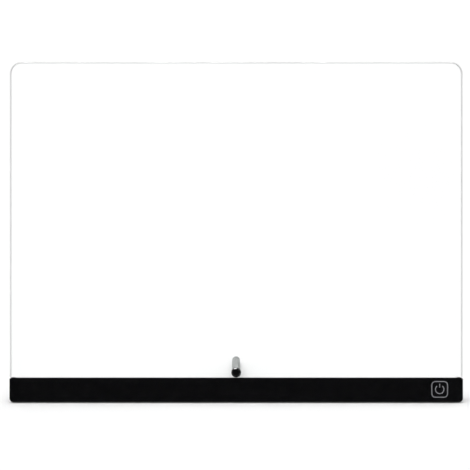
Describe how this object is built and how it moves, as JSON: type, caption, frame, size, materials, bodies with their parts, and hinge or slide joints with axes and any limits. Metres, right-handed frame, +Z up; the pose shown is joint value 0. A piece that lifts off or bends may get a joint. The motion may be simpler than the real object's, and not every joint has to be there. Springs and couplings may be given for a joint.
{
  "type": "led message board",
  "caption": "Clear edge-lit message panel with rounded top corners in a slim black battery base bar with a power key, leaning back on a plug-on rear leg.",
  "frame": {"origin": "centre of the grip strip's underside, on the table", "axes": "+X to the right of someone facing the board, +Y towards the back, +Z up"},
  "size_m": [0.4, 0.1125, 0.2929],
  "materials": {
    "acrylic": "clear polished",
    "gloss_black": "glossy",
    "black_shell": "fine matt grain",
    "foam": "matt",
    "white_board": "satin",
    "led": "satin",
    "green_board": "satin",
    "steel": "plated",
    "cell": "printed film",
    "lead": "satin",
    "black_rubber": "matt",
    "washer": "satin",
    "leg_metal": "satin anodised",
    "grey_rubber": "matt"
  },
  "bodies": {
    "base": {"clear_panel": "acrylic", "front_cover": "gloss_black", "rear_housing": "black_shell", "slot_foam": "foam", "led_board": "white_board", "led_chips": "led", "control_board": "green_board", "board_components": "black_shell", "switch_body": "black_shell", "board_screws": "steel", "case_screws": "steel", "cell_1": "cell", "cell_2": "cell", "cell_3": "cell", "negative_plate": "steel", "negative_spring": "steel", "positive_plate": "steel", "battery_leads": "lead", "strip_leads": "lead", "grip_strip": "black_rubber", "leg_stud": "gloss_black", "stud_washer": "washer"},
    "key": {"power_key": "gloss_black", "switch_plunger": "black_shell"},
    "leg": {"leg_rod": "leg_metal", "leg_tip": "grey_rubber"},
    "door": {"battery_door": "black_shell"}
  },
  "joints": [
    {"name": "key_press", "type": "slide", "parent": "base", "child": "key", "axis": [0, 0.9781, -0.2079], "range_m": [0, 0.0005], "stiffness_N_per_m": 3000},
    {"name": "leg_pull", "type": "slide", "parent": "base", "child": "leg", "axis": [0, 0.9781, -0.2079], "range_m": [0, 0.012]},
    {"name": "door_lift", "type": "slide", "parent": "base", "child": "door", "axis": [0, 0.9781, -0.2079], "range_m": [0, 0.012]}
  ]
}
